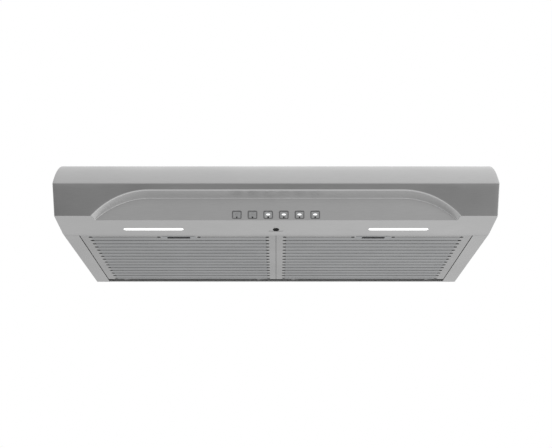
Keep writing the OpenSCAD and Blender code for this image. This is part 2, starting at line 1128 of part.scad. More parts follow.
// Half-disc flap on side s of the pin, with knuckles on the pin over the given spans
module flap(s, spans) {
    color("lightgray")
        translate([0, duct_y, flap_z])
            difference() {
                union() {
                    translate([0, 0, -0.4])
                        linear_extrude(0.8)
                            intersection() {
                                circle(r = duct_r - 2);
                                translate([-duct_r, s > 0 ? 3.2 : -3.2 - duct_r])
                                    square([2 * duct_r, duct_r]);
                            }
                    for (p = spans) {
                        translate([p[0], 0, 0])
                            rotate([0, 90, 0])
                                cylinder(r = 2.6, h = p[1] - p[0]);
                        translate([p[0], s > 0 ? 0 : -4, -0.4])
                            cube([p[1] - p[0], 4, 0.8]);
                    }
                }
                rotate([0, 90, 0])
                    cylinder(r = pin_r + 0.06, h = 200, center = true);
            }
}

module damper_flap_front() {
    flap(-1, [[-64, -36], [4, 30]]);
}

module damper_flap_rear() {
    flap(1, [[-34, -6], [36, 64]]);
}

module damper_pin() {
    color("dimgray")
        translate([0, duct_y, flap_z])
            rotate([0, 90, 0])
                cylinder(r = pin_r, h = 2 * duct_r, center = true);
}

// ---------- wiring ----------

lead_hole_z = -28;
lead_r = 2.3;
lamp_lead_x = lamp_x - lens_len / 2 - 8 - gap - lead_r;

module junction_box() {
    color("silver")
        difference() {
            translate([box_x, box_y, 0])
                box(-box_half_x, box_half_x, -box_half_y, box_half_y, box_bottom_z, -sheet);
            translate([box_x, box_y, 0])
                box(sheet - box_half_x, box_half_x - sheet, sheet - box_half_y, box_half_y - sheet,
                    box_bottom_z - 5, -2 * sheet);
            translate([box_x, box_y, -5])
                cylinder(r = entry_hole_r, h = 10);
            translate([box_x - box_half_x, box_y - 20, lead_hole_z])
                rotate([0, 90, 0])
                    cylinder(r = 7, h = 10, center = true);
        }
}

module junction_cover() {
    color("silver")
        difference() {
            translate([box_x, box_y, 0])
                box(-box_half_x - 2, box_half_x + 2, -box_half_y - 2, box_half_y + 2,
                    box_bottom_z - sheet, box_bottom_z);
            for (s = [-1, 1])
                translate([box_x + s * 30, box_y, -50])
                    cylinder(r = 2, h = 20);
        }
}

// Power entry: a bushing through the roof, held by its lock ring inside the box
module cable_gland() {
    color("#222222")
        translate([box_x, box_y, 0])
            rotate_extrude()
                polygon([
                    [6.5, -12], [10.8, -12], [10.8, -5.4], [14, -5.4], [14, -2.4], [10.8, -2.4], [10.8, 0],
                    [14, 0], [14, 1], [13, 2], [6.5, 2]
                ]);
}

module terminal_block() {
    color("ivory")
        difference() {
            box(box_x - 24, box_x + 24, box_y + 22, box_y + box_half_y - sheet, -30, -14);
            for (i = [-1:1])
                translate([box_x + i * 14, box_y + 30, -22])
                    rotate([90, 0, 0])
                        cylinder(r = 2.2, h = 30);
        }
}

// A round lead through a list of points
module lead(points) {
    for (i = [0:len(points) - 2])
        hull()
            for (p = [points[i], points[i + 1]])
                translate(p)
                    sphere(r = lead_r, $fn = 10);
}

module wiring_leads() {
    color("#333333") {
        lead([[185, 88, -31], [140, 88, -31], [140, -190, -31], [60, -252, -70], [60, -261, -91]]);
        lead([[-250, -62.4, -14], [-250, -205, -16], [-214, -240, -70], [-214, -243, -101.5]]);
        lead([[-lamp_lead_x, -243, -108], [lamp_lead_x, -243, -108]]);
        lead([[-60, -261, -91], [-120, -250, -75], [-215, -200, -30], [-235, -100, -14], [-235, -62.4, -14]]);
        lead([[185, 88, -25], [125, 80, -24], [89.5, 0, -24]]);
    }
}

// ---------- fasteners ----------

module screw(head_r, shank_r, shank_len) {
    union() {
        translate([0, 0, -2])
            cylinder(r = head_r, h = 2);
        cylinder(r = shank_r, h = shank_len);
    }
}

module shell_screws() {
    color("dimgray")
        for (x = roof_screw_x)
            translate([x, roof_screw_y, -2 * sheet])
                screw(3.4, 1.7, 2.2);
}

// Screws up into the roof, each with a spacer between the roof and the top plate
module blower_screws() {
    color("dimgray")
        for (p = blower_spots)
            translate([p[0], p[1], plate_z]) {
                screw(4.4, 1.9, -plate_z - 0.1);
                translate([0, 0, sheet])
                    ring(6, 2.1, -plate_top_z - sheet);
            }
}

module cover_screws() {
    color("dimgray") {
        outlet_screw_spots()
            screw(3.8, 1.9, 2.3);
        collar_spots()
            translate([0, 0, sheet])
                rotate([180, 0, 0])
                    screw(2.6, 1.5, 3);
        for (s = [-1, 1])
            translate([box_x + s * 30, box_y, box_bottom_z - sheet])
                screw(3.6, 1.9, 8);
    }
}

roof_panel();
side_panel_left();
side_panel_right();
rear_panel();
front_fascia();
light_panel();
filter_rear_rail();
rear_outlet_cover();
boss_plate();
boss_plug();
lamp_lens_left();
lamp_lens_right();
lamp_tray_left();
lamp_tray_right();
led_board_left();
led_board_right();
led_driver();
button_bezel();
switch_block();
switch_board();
button_lamp();
button_stop();
button_low();
button_medium();
button_high();
button_boost();
filter_face_left();
filter_face_right();
filter_frame_left();
filter_frame_right();
filter_mesh_left();
filter_mesh_right();
latch_left();
latch_right();
latch_bezel_left();
latch_bezel_right();
latch_spring_left();
latch_spring_right();
hinge_pins();
blower_top_plate();
scroll_wall();
inlet_plate();
inlet_ring();
blower_wheel();
wheel_nut();
motor_shaft();
motor();
capacitor();
duct_collar();
damper_flap_front();
damper_flap_rear();
damper_pin();
junction_box();
junction_cover();
cable_gland();
terminal_block();
wiring_leads();
shell_screws();
blower_screws();
cover_screws();
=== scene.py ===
"""The visible model of the under cabinet range hood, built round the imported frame.

Lengths inside the script are in millimetres, in the frame's own axes, unless a comment says otherwise.
A mesh is scaled to metres when it is made.
"""

import json
import math

import bmesh
import bpy
from mathutils import Matrix, Vector


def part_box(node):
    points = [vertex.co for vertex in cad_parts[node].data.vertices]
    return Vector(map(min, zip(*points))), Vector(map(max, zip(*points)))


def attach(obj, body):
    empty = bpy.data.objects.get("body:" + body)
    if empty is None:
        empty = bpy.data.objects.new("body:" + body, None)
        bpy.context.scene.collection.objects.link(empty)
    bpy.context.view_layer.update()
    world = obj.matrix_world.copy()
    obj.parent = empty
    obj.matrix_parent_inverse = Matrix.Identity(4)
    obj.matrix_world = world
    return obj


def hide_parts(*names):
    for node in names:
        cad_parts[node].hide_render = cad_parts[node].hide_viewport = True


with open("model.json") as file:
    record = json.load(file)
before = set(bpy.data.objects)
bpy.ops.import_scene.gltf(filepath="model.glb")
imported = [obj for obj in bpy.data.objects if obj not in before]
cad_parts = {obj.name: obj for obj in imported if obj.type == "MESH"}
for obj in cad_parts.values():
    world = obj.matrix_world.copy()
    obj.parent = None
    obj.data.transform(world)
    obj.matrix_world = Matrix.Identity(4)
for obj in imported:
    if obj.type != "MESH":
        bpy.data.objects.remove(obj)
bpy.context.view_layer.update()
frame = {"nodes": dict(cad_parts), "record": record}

MM = 0.001
SHEET = 1.2


def corners(node):
    """The lowest and highest corner of a CAD node, in millimetres."""
    low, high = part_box(node)
    return Vector(low) / MM, Vector(high) / MM


# ---------- places, from the frame ----------

fascia_low, fascia_high = corners("front_fascia")
panel_low, panel_high = corners("light_panel")
HALF_W = fascia_high.x
FRONT = fascia_low.y
BOTTOM = panel_low.z

# The nose's arc is level at the roof. CREASE_Z is where it ends, at the hood's front, and the band begins
NOSE_R = 137
NOSE_Y = FRONT + 114
NOSE_Z = -NOSE_R
CREASE_Z = NOSE_Z + math.sqrt(NOSE_R**2 - (NOSE_Y - FRONT) ** 2)

# The band ends at the foot, and the sloping light panel goes on from there to PANEL_END_Y
FOOT_Y = panel_low.y
FOOT_Z = BOTTOM + 9.2
PANEL_END_Y = FRONT + 112
BAND_LEAN = (FOOT_Y - FRONT) / (CREASE_Z - FOOT_Z)
PANEL_DROP = (FOOT_Z - BOTTOM) / (PANEL_END_Y - FOOT_Y)
LIGHT_ANGLE = math.atan(PANEL_DROP)
BAND_OUT = Vector((0, -1, -BAND_LEAN)).normalized()
LIGHT_OUT = Vector((0, -PANEL_DROP, -1)).normalized()

# The recess: an arch in the front view, and a back panel that leans
ARCH_HALF = 216
ARCH_R = 148
ARCH_TOP = BOTTOM + 47.7
RECESS_LEAN = math.radians(19.1)

# The buttons from left to right, on a line of the recess panel
BUTTONS = ["lamp", "stop", "low", "medium", "high", "boost"]
BUTTON_PITCH = 27.1
BUTTON_Y = FRONT + 45.6
BUTTON_Z = BOTTOM + 16


def band_y(z):
    """The sloping band's outer face at height z."""
    return FOOT_Y - (z - FOOT_Z) * BAND_LEAN


def recess_y(z):
    """The recess panel's outer face at height z."""
    return BUTTON_Y + (BUTTON_Z - z) * math.tan(RECESS_LEAN)


def button_x(i):
    """The middle of button i, from the left."""
    return (i - (len(BUTTONS) - 1) / 2) * BUTTON_PITCH


def light_z(y):
    """The light panel's outer face at depth y, in front of its fold."""
    return FOOT_Z - (y - FOOT_Y) * PANEL_DROP


def on_recess(x):
    """The frame of a point on the recess panel's button line: Z out of the panel, Y up along it."""
    return Matrix.Translation((x, BUTTON_Y, BUTTON_Z)) @ Matrix.Rotation(math.pi / 2 + RECESS_LEAN, 4, "X")


def on_light(x, y):
    """The frame of a point on the light panel: Z out of it, downwards, Y to the front."""
    return Matrix.Translation((x, y, light_z(y))) @ Matrix.Rotation(math.pi - LIGHT_ANGLE, 4, "X")


# ---------- mesh helpers ----------


def finish_piece(obj, material, body, replaces=(), angle=30):
    """Shades a piece smooth up to angle, gives it its material and slot, and hangs it on its body."""
    mesh = obj.data
    mesh.polygons.foreach_set("use_smooth", [True] * len(mesh.polygons))
    mesh.set_sharp_from_angle(angle=math.radians(angle))
    mesh.materials.clear()
    mesh.materials.append(material)
    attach(obj, body)
    if replaces:
        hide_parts(*replaces)


def new_object(name, mesh):
    obj = bpy.data.objects.new(name, mesh)
    bpy.context.scene.collection.objects.link(obj)
    return obj


def evaluated(name, source):
    """A new object that holds source's mesh with its modifiers applied; source goes."""
    depsgraph = bpy.context.evaluated_depsgraph_get()
    mesh = bpy.data.meshes.new_from_object(source.evaluated_get(depsgraph))
    mesh.name = name
    mesh.transform(source.matrix_world)
    data = source.data
    bpy.data.objects.remove(source)
    if isinstance(data, bpy.types.Mesh):
        bpy.data.meshes.remove(data)
    else:
        bpy.data.curves.remove(data)
    return new_object(name, mesh)


def area(loop):
    """A loop's signed area, above 0 where it runs anticlockwise."""
    return sum(a[0] * b[1] - b[0] * a[1] for a, b in zip(loop, loop[1:] + loop[:1])) / 2


def plate(name, loops, low, high, rim, place=Matrix.Identity(4)):
    """A flat sheet from z low to high, edges rounded by rim: loops are its outline and then its holes."""
    curve = bpy.data.curves.new(name, "CURVE")
    curve.dimensions = "2D"
    curve.fill_mode = "BOTH"
    curve.extrude = (high - low) / 2 * MM - rim * MM
    curve.bevel_depth = rim * MM
    curve.bevel_resolution = 1
    curve.offset = -rim * MM
    for i, loop in enumerate(loops):
        if (area(loop) > 0) != (i == 0):
            loop = loop[::-1]
        spline = curve.splines.new("POLY")
        spline.points.add(len(loop) - 1)
        for point, (x, y) in zip(spline.points, loop):
            point.co = (x * MM, y * MM, 0, 1)
        spline.use_cyclic_u = True
    source = new_object(name + "_source", curve)
    obj = evaluated(name, source)
    lift = Matrix.Translation((0, 0, (low + high) / 2 * MM))
    obj.data.transform(metres(place) @ lift)
    obj.data.update()
    return obj


def metres(place):
    """The same placing with its shift in metres."""
    result = place.copy()
    result.translation *= MM
    return result


def arc(cx, cy, r, a0, a1, steps):
    """Points round a circle from angle a0 to a1, in degrees."""
    return [
        (
            cx + r * math.cos(math.radians(a0 + (a1 - a0) * i / steps)),
            cy + r * math.sin(math.radians(a0 + (a1 - a0) * i / steps)),
        )
        for i in range(steps + 1)
    ]


def rounded_loop(x0, x1, y0, y1, r):
    steps = 6
    return (
        arc(x1 - r, y1 - r, r, 0, 90, steps)
        + arc(x0 + r, y1 - r, r, 90, 180, steps)
        + arc(x0 + r, y0 + r, r, 180, 270, steps)
        + arc(x1 - r, y0 + r, r, 270, 360, steps)
    )


def circle_loop(cx, cy, r, steps):
    return arc(cx, cy, r, 0, 360 - 360 / steps, steps - 1)


def stadium_loop(cx, cy, length, width):
    steps = 12
    r = width / 2
    half = length / 2 - r
    return arc(cx + half, cy, r, -90, 90, steps) + arc(cx - half, cy, r, 90, 270, steps)


def block(name, size, place):
    """A rounded block. size: half width, half height, corner radius, low, high, and its edges' rounding."""
    half_w, half_h, r, low, high, rim = size
    return plate(name, [rounded_loop(-half_w, half_w, -half_h, half_h, r)], low, high, rim, place)


def joined(name, parts):
    """One object from several."""
    bm = bmesh.new()
    for part in parts:
        bm.from_mesh(part.data)
        mesh = part.data
        bpy.data.objects.remove(part)
        bpy.data.meshes.remove(mesh)
    mesh = bpy.data.meshes.new(name)
    bm.to_mesh(mesh)
    bm.free()
    return new_object(name, mesh)


def lathe(name, profile, place, steps):
    """A turned piece from (radius, height) points that start and end on the axis."""
    bm = bmesh.new()
    rings = []
    for r, z in profile:
        if r == 0:
            rings.append([bm.verts.new((0, 0, z * MM))])
        else:
            turn = [2 * math.pi * i / steps for i in range(steps)]
            rings.append([bm.verts.new((r * math.cos(a) * MM, r * math.sin(a) * MM, z * MM)) for a in turn])
    for a, b in zip(rings, rings[1:]):
        for i in range(steps):
            j = (i + 1) % steps
            if len(a) == 1:
                bm.faces.new((a[0], b[j], b[i]))
            elif len(b) == 1:
                bm.faces.new((a[i], a[j], b[0]))
            else:
                bm.faces.new((a[i], a[j], b[j], b[i]))
    bmesh.ops.recalc_face_normals(bm, faces=bm.faces)
    mesh = bpy.data.meshes.new(name)
    bm.to_mesh(mesh)
    bm.free()
    mesh.transform(metres(place))
    return new_object(name, mesh)


def cut_mesh(bm, point, normal, clear_outer=False):
    """Cuts a bmesh along a plane and gives back what lies on the cut."""
    everything = bm.verts[:] + bm.edges[:] + bm.faces[:]
    plane = {"plane_co": point, "plane_no": normal}
    return bmesh.ops.bisect_plane(bm, geom=everything, clear_outer=clear_outer, **plane)["geom_cut"]


def cut_across(mesh, cuts):
    """Splits a mesh's faces along planes, given as (axis, place in millimetres)."""
    bm = bmesh.new()
    bm.from_mesh(mesh)
    for axis, place in cuts:
        normal = Vector((0, 0, 0))
        normal[axis] = 1
        cut_mesh(bm, normal * place * MM, normal)
    bm.to_mesh(mesh)
    bm.free()


# ---------- material helpers ----------


class Shader:
    """A Principled material with short ways to add nodes to it."""

    def __init__(self, name, color, roughness, metallic=0.0):
        self.material = bpy.data.materials.new(name)
        self.material.use_nodes = True
        self.tree = self.material.node_tree
        self.bsdf = self.tree.nodes["Principled BSDF"]
        self.bsdf.inputs["Base Color"].default_value = (*color, 1)
        self.bsdf.inputs["Roughness"].default_value = roughness
        self.bsdf.inputs["Metallic"].default_value = metallic

    def node(self, kind, **settings):
        made = self.tree.nodes.new(kind)
        for key, value in settings.items():
            setattr(made, key, value)
        return made

    def link(self, a, b):
        self.tree.links.new(a, b)

    def noise(self, scale, stretch=(1, 1, 1), detail=3, rough=0.6):
        """Noise over the object's own coordinates, stretched along an axis where stretch is small."""
        coords = self.node("ShaderNodeTexCoord")
        mapping = self.node("ShaderNodeMapping")
        mapping.inputs["Scale"].default_value = stretch
        noise = self.node("ShaderNodeTexNoise")
        noise.inputs["Scale"].default_value = scale
        noise.inputs["Detail"].default_value = detail
        noise.inputs["Roughness"].default_value = rough
        self.link(coords.outputs["Object"], mapping.inputs["Vector"])
        self.link(mapping.outputs["Vector"], noise.inputs["Vector"])
        return noise.outputs["Fac"]

    def spread(self, value, low, high):
        """value, from 0.3 to 0.7, mapped to low..high."""
        ramp = self.node("ShaderNodeMapRange")
        ramp.inputs["From Min"].default_value = 0.3
        ramp.inputs["From Max"].default_value = 0.7
        ramp.inputs["To Min"].default_value = low
        ramp.inputs["To Max"].default_value = high
        self.link(value, ramp.inputs["Value"])
        return ramp.outputs["Result"]

    def tint(self, value, dark, light):
        """Base colour between dark and light, by value."""
        mix = self.node("ShaderNodeMix", data_type="RGBA")
        mix.inputs["A"].default_value = (*dark, 1)
        mix.inputs["B"].default_value = (*light, 1)
        self.link(self.spread(value, 0, 1), mix.inputs["Factor"])
        self.link(mix.outputs["Result"], self.bsdf.inputs["Base Color"])

    def vary_roughness(self, value, low, high):
        self.link(self.spread(value, low, high), self.bsdf.inputs["Roughness"])

    def bump(self, value, depth_mm, strength):
        """Relief by value, on top of any relief there already."""
        bump = self.node("ShaderNodeBump")
        bump.inputs["Strength"].default_value = strength
        bump.inputs["Distance"].default_value = depth_mm * MM
        self.link(value, bump.inputs["Height"])
        if self.bsdf.inputs["Normal"].is_linked:
            self.link(self.bsdf.inputs["Normal"].links[0].from_socket, bump.inputs["Normal"])
        self.link(bump.outputs["Normal"], self.bsdf.inputs["Normal"])


def grey(value, warm=0.0):
    """A grey, with a little more red and less blue where warm is above 0."""
    return (value * (1 + warm), value, value * (1 - warm))


def brushed(name, value, roughness=0.34, contrast=0.06, warm=0.0):
    """Brushed stainless steel: fine streaks along X over a faint, broad clouding."""
    s = Shader(name, grey(value), roughness, metallic=1.0)
    streaks = s.noise(2600, stretch=(0.02, 1, 1), detail=4, rough=0.7)
    clouds = s.noise(9, detail=2)
    s.tint(streaks, grey(value * (1 - contrast), warm), grey(value * (1 + contrast), warm))
    s.vary_roughness(clouds, roughness - 0.03, roughness + 0.04)
    s.bump(streaks, 0.012, 0.35)
    return s.material


def zinc(name, value):
    """Galvanised sheet: a dull coat with broad crystal spangles."""
    s = Shader(name, grey(value), 0.45, metallic=0.9)
    coords = s.node("ShaderNodeTexCoord")
    cells = s.node("ShaderNodeTexVoronoi")
    cells.inputs["Scale"].default_value = 95
    s.link(coords.outputs["Object"], cells.inputs["Vector"])
    split = s.node("ShaderNodeSeparateColor")
    s.link(cells.outputs["Color"], split.inputs["Color"])
    s.tint(split.outputs["Red"], grey(value * 0.86, -0.01), grey(value * 1.08, -0.01))
    s.vary_roughness(split.outputs["Green"], 0.38, 0.52)
    s.bump(s.noise(420, detail=2), 0.02, 0.3)
    return s.material


def moulded(name, color, roughness=0.5):
    """Moulded plastic with a fine grain and slight clouding of its colour."""
    s = Shader(name, color, roughness)
    grain = 900
    clouds = s.noise(40, detail=2)
    s.tint(clouds, tuple(c * 0.92 for c in color), tuple(min(1, c * 1.06) for c in color))
    s.vary_roughness(s.noise(grain, detail=2), roughness - 0.06, roughness + 0.06)
    s.bump(s.noise(grain, detail=2), 0.02, 0.4)
    return s.material


def cast(name, value, roughness=0.42):
    """Turned or drawn bare metal."""
    s = Shader(name, grey(value), roughness, metallic=1.0)
    s.tint(s.noise(220, detail=4), grey(value * 0.88), grey(value * 1.08))
    s.vary_roughness(s.noise(60, detail=2), roughness - 0.06, roughness + 0.08)
    s.bump(s.noise(700, detail=2), 0.01, 0.3)
    return s.material


def woven(name, value):
    """Expanded metal mesh: a lattice of fine strands in relief."""
    s = Shader(name, grey(value), 0.5, metallic=0.9)
    coords = s.node("ShaderNodeTexCoord")
    cells = s.node("ShaderNodeTexVoronoi", feature="DISTANCE_TO_EDGE")
    cells.inputs["Scale"].default_value = 420
    cells.inputs["Randomness"].default_value = 0.35
    s.link(coords.outputs["Object"], cells.inputs["Vector"])
    edge = s.node("ShaderNodeMapRange")
    edge.inputs["From Max"].default_value = 0.25
    edge.inputs["To Min"].default_value = 1
    edge.inputs["To Max"].default_value = 0
    s.link(cells.outputs["Distance"], edge.inputs["Value"])
    mix = s.node("ShaderNodeMix", data_type="RGBA")
    mix.inputs["A"].default_value = (*grey(value * 0.35), 1)
    mix.inputs["B"].default_value = (*grey(value * 1.1), 1)
    s.link(edge.outputs["Result"], mix.inputs["Factor"])
    s.link(mix.outputs["Result"], s.bsdf.inputs["Base Color"])
    s.bump(edge.outputs["Result"], 0.25, 0.8)
    return s.material


def glowing(name, color, strength):
    """A glowing surface, faintly mottled: a lit diffuser for the lamps, a painted highlight for the buttons.
    """
    s = Shader(name, color, 0.35)
    s.bsdf.inputs["Emission Strength"].default_value = strength
    mix = s.node("ShaderNodeMix", data_type="RGBA")
    mix.inputs["A"].default_value = (*(c * 0.97 for c in color), 1)
    mix.inputs["B"].default_value = (*color, 1)
    s.link(s.spread(s.noise(300, detail=2), 0, 1), mix.inputs["Factor"])
    s.link(mix.outputs["Result"], s.bsdf.inputs["Emission Color"])
    s.link(mix.outputs["Result"], s.bsdf.inputs["Base Color"])
    return s.material


STEEL = brushed("canopy_steel", 0.60)
FILTER_STEEL = brushed("filter_face_steel", 0.53, roughness=0.36)
WHITE_LAMP = glowing("lamp_lens", (1, 1, 1), 1.05)
# The louvre field's steel: the face's own steel made darker, a painted shade
SHADED_LOUVRE_STEEL = brushed("louvre_steel_painted_shade", 0.44, roughness=0.38, warm=-0.015)
# Near-black steel for the walls of holes and slots: painted shade
PAINTED_SHADE_EDGE = brushed("painted_shade_edge", 0.07, roughness=0.6, contrast=0.15)
BUTTON_MARK = moulded("button_mark", (0.33, 0.33, 0.335), 0.5)
BUTTON_SPOT = moulded("button_spot", (0.035, 0.035, 0.036), 0.6)
BLACK = moulded("latch_plastic", (0.02, 0.02, 0.021), 0.55)
# The glowing white centre of the four right buttons: a painted highlight, not a lamp
BUTTON_PAINTED_HIGHLIGHT = glowing("button_painted_highlight", (0.95, 0.96, 0.97), 0.75)

# The material of each slot that the record's nodes name
NODE_MATERIALS = {
    "canopy_steel": STEEL,
    "galvanised_steel": zinc("galvanised_steel", 0.62),
    # The rear rail is dark grey so that the gap in front of it reads dark: painted shade
    "dark_rail": moulded("dark_rail", (0.17, 0.17, 0.173), 0.5),
    # The boss plate is near black so that its hole and slot read dark: painted shade
    "boss_metal": moulded("boss_metal", (0.02, 0.02, 0.021), 0.7),
    "boss_plug_rubber": moulded("boss_plug_rubber", (0.004, 0.004, 0.004), 0.85),
    "lamp_tray_plastic": moulded("lamp_tray_plastic", (0.78, 0.78, 0.78), 0.55),
    "led_board": moulded("led_board", (0.75, 0.74, 0.66), 0.35),
    "driver_case": moulded("driver_case", (0.8, 0.8, 0.79), 0.5),
    "bezel_plastic": moulded("bezel_plastic", (0.21, 0.21, 0.215), 0.5),
    "switch_plastic": moulded("switch_plastic", (0.72, 0.70, 0.64), 0.5),
    "switch_board": moulded("switch_board", (0.03, 0.16, 0.07), 0.3),
    "filter_frame_steel": brushed("filter_frame_steel", 0.56, roughness=0.4),
    # The mesh's grey is low so the holes in the faces above it read dark: partly its own colour, partly
    # painted shade
    "filter_mesh": woven("filter_mesh", 0.26),
    "latch_plastic": BLACK,
    "latch_rim": brushed("latch_rim", 0.50, roughness=0.42, warm=-0.02),
    "spring_steel": cast("spring_steel", 0.55, 0.3),
    "pin_steel": cast("pin_steel", 0.55, 0.34),
    "inlet_ring_plastic": moulded("inlet_ring_plastic", (0.07, 0.07, 0.075), 0.45),
    "wheel_plastic": moulded("wheel_plastic", (0.10, 0.10, 0.105), 0.5),
    "motor_case": moulded("motor_case", (0.12, 0.125, 0.14), 0.4),
    "capacitor_case": moulded("capacitor_case", (0.78, 0.78, 0.75), 0.35),
    "duct_steel": zinc("duct_steel", 0.66),
    "damper_metal": cast("damper_metal", 0.6, 0.4),
    "gland_plastic": moulded("gland_plastic", (0.03, 0.03, 0.03), 0.5),
    "terminal_plastic": moulded("terminal_plastic", (0.78, 0.77, 0.72), 0.45),
    "lead_insulation": moulded("lead_insulation", (0.035, 0.035, 0.04), 0.4),
    "screw_steel": cast("screw_steel", 0.58, 0.32),
    "filter_face_steel": FILTER_STEEL,
    "lamp_lens": WHITE_LAMP,
    "button_grey": moulded("button_grey", (0.43, 0.435, 0.44), 0.42),
    "button_lit": moulded("button_lit", (0.46, 0.465, 0.47), 0.42),
}


def dress_nodes():
    """Gives every CAD node its slot's material."""
    for part in frame["record"]["subparts"]:
        obj = frame["nodes"][part["node"]]
        material = NODE_MATERIALS[part["material_slot"]]
        for slot in obj.material_slots:
            slot.material = material


# ---------- canopy ----------

# Columns and rows of the fascia's mesh
TOP_COLUMNS = 12
ARCH_COLUMNS = 34
SIDE_COLUMNS = 6
NOSE_ROWS = 22
BAND_ROWS = 6
PANEL_ROWS = 5
ROUNDING_ROWS = 6

# Roundings: the recess's outer edge and its inner fold, the fascia's two ends, and the crease, which is
# rounded over CREASE_TURN degrees of the nose above it and CREASE_DROP of height below it
EDGE_R = 2.2
FLOOR_R = 1.6
END_R = 1.6
CREASE_TURN = 0.6
CREASE_DROP = 1.2

DRAFT = math.radians(10)
BELOW = BOTTOM - 5
FOOT_LIP = 0.2
FASCIA_THICK = SHEET - 0.1

# Rounded blocks in a button's frame, as block() takes them
BUTTON_HOLE = (8.45, 7.25, 2.6, -6, 6, 0.0)
BUTTON_CAP = (6.7, 5.5, 1.8, -4.2, 1.2, 0.6)
BUTTON_FLANGE = (7.9, 6.7, 2, -5.4, -4, 0.2)


def arch_points():
    """The arch's right half from the middle outwards: position and outward direction in X and Z."""
    points = [(ARCH_HALF * i / TOP_COLUMNS, ARCH_TOP, 0.0, 1.0) for i in range(TOP_COLUMNS)]
    centre_z = ARCH_TOP - ARCH_R
    last = math.degrees(math.asin((BELOW - centre_z) / ARCH_R))
    for i in range(ARCH_COLUMNS + 1):
        a = math.radians(90 + (last - 90) * i / ARCH_COLUMNS)
        nx, nz = math.cos(a), math.sin(a)
        points.append((ARCH_HALF + ARCH_R * nx, centre_z + ARCH_R * nz, nx, nz))
    return points


def recess_section(depth):
    """The recess wall's section as (offset outwards, depth): rounded edge, drafted wall, rounded fold."""
    turn = math.pi / 2 - DRAFT
    steps = [turn * i / ROUNDING_ROWS for i in range(ROUNDING_ROWS + 1)]
    edge = [(EDGE_R - EDGE_R * math.sin(a), EDGE_R * (1 - math.cos(a))) for a in steps]
    floor_depth = FLOOR_R * (1 - math.cos(turn))
    wall_end = edge[-1][0] - (depth - floor_depth - edge[-1][1]) * math.tan(DRAFT)
    fold = [
        (wall_end - FLOOR_R * (math.sin(turn) - math.sin(a)), depth - FLOOR_R * (1 - math.cos(a)))
        for a in reversed(steps)
    ]
    return edge + fold


def nose_column(x, inset):
    """Points down the nose and over the crease, moved inwards by inset."""
    crease = math.degrees(math.atan2(CREASE_Z - NOSE_Z, FRONT - NOSE_Y))
    column = [
        (x, y, z) for y, z in arc(NOSE_Y, NOSE_Z, NOSE_R - inset, 90, crease - CREASE_TURN, NOSE_ROWS)
    ]
    start = Vector(column[-1][1:])
    inwards = Vector((BAND_OUT.y, BAND_OUT.z)) * inset
    tip = Vector((FRONT, CREASE_Z)) - inwards
    end_z = CREASE_Z - CREASE_DROP
    end = Vector((band_y(end_z), end_z)) - inwards
    for t in (0.25, 0.5, 0.75):
        p = (1 - t) ** 2 * start + 2 * t * (1 - t) * tip + t**2 * end
        column.append((x, p.x, p.y))
    column.append((x, end.x, end.y))
    return column


def band_column(x, z_end, inset=0.0):
    """Points down the band from below the crease to z_end, moved inwards by inset."""
    z_start = CREASE_Z - CREASE_DROP
    rows = []
    for i in range(1, BAND_ROWS + 1):
        z = z_start + (z_end - z_start) * i / BAND_ROWS
        rows.append((x, band_y(z) - BAND_OUT.y * inset, z - BAND_OUT.z * inset))
    return rows


def recess_column(x, z, nx, nz):
    """The wall's first point at the arch point x, z, and the points from there down the wall and panel."""
    depth = recess_y(z) - band_y(z)
    rows = []
    for offset, level in recess_section(depth):
        pz = z + nz * offset
        share = level / depth
        y = band_y(pz) * (1 - share) + recess_y(pz) * share
        rows.append((x + nx * offset, y, pz))
    fold_x, _, fold_z = rows[-1]
    for i in range(1, PANEL_ROWS + 1):
        pz = fold_z + (BELOW - fold_z) * i / PANEL_ROWS
        rows.append((fold_x, recess_y(pz), pz))
    return rows[0], rows[1:]


def side_columns():
    """(x, inset) of the columns between the arch and the fascia's rounded right end."""
    arch_x, _, arch_nx, _ = arch_points()[-1]
    first = arch_x + EDGE_R * arch_nx
    last = HALF_W - END_R
    plain = [(first + (last - first) * i / SIDE_COLUMNS, 0.0) for i in range(1, SIDE_COLUMNS + 1)]
    bend = [math.radians(a) for a in (30, 60, 90)]
    return plain + [(last + END_R * math.sin(a), END_R * (1 - math.cos(a))) for a in bend]


def fascia_surface():
    """The fascia's outer face in columns from left to right: (nose and band, recess wall and panel)."""
    right = []
    for x, z, nx, nz in arch_points():
        (x0, _, z0), deep = recess_column(x, z, nx, nz)
        right.append((nose_column(x0, 0) + band_column(x0, z0), deep))
    for x, inset in side_columns():
        right.append((nose_column(x, inset) + band_column(x, BELOW, inset), []))
    left = [[[(-x, y, z) for x, y, z in points] for points in pair] for pair in right[:0:-1]]
    return left + right


